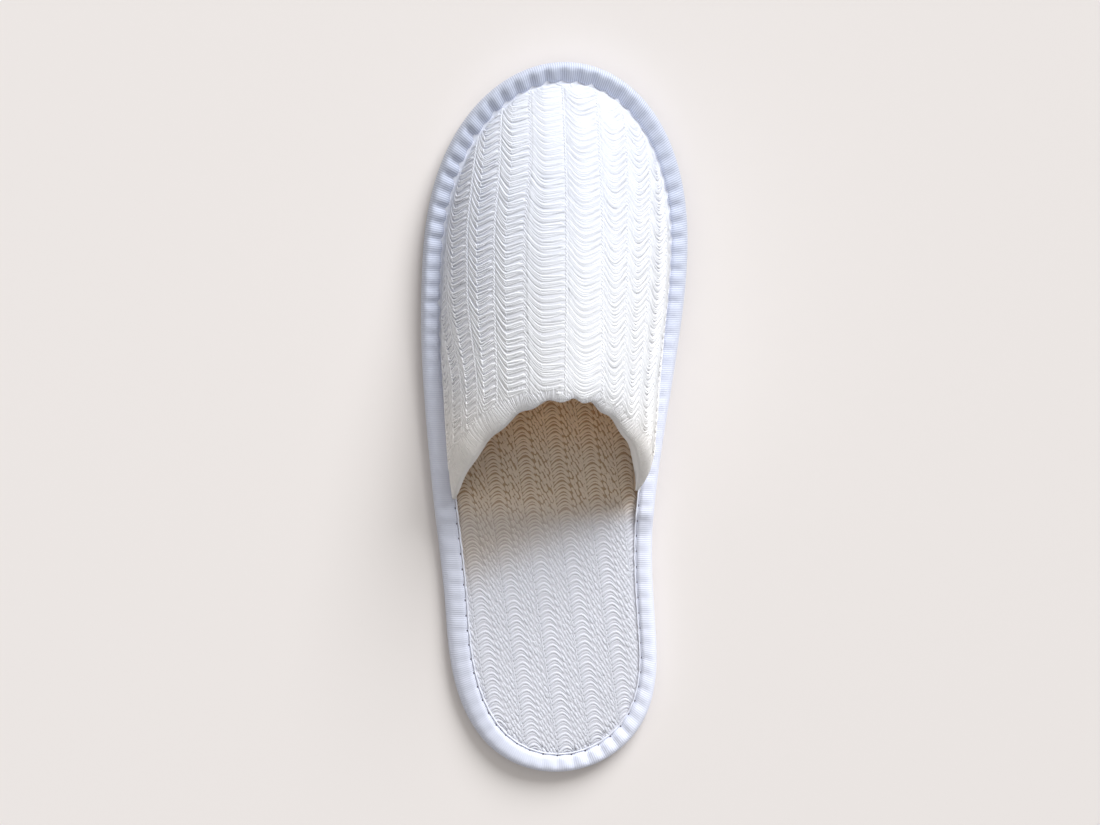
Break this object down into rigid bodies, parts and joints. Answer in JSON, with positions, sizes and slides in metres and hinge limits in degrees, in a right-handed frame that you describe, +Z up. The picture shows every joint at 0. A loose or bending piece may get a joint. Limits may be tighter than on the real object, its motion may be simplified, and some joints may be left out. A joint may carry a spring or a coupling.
{
  "type": "hotel slipper",
  "caption": "Closed-toe textile slipper: foam sole with non-slip fabric, knitted insole, hollow knitted upper and a ribbed tape that binds the edge.",
  "frame": {"origin": "centre of the bounding box in plan, on the floor that the sole rests on", "axes": "+Y from heel to toe, +X to the inner side of the left foot, +Z up from the floor"},
  "size_m": [0.1054, 0.285, 0.0597],
  "materials": {
    "nonslip_fabric": "pale grey-lilac non-woven fabric with small raised soft plastic dots",
    "insole_knit": "white scalloped rib knit over thin padding",
    "upper_knit": "white scalloped rib knit over sponge, with a plain lining",
    "binding_tape": "cool white ribbed tape, folded over the edge and stitched"
  },
  "bodies": {
    "root": {"sole": "nonslip_fabric", "insole": "insole_knit", "upper": "upper_knit", "binding": "binding_tape"}
  },
  "joints": []
}
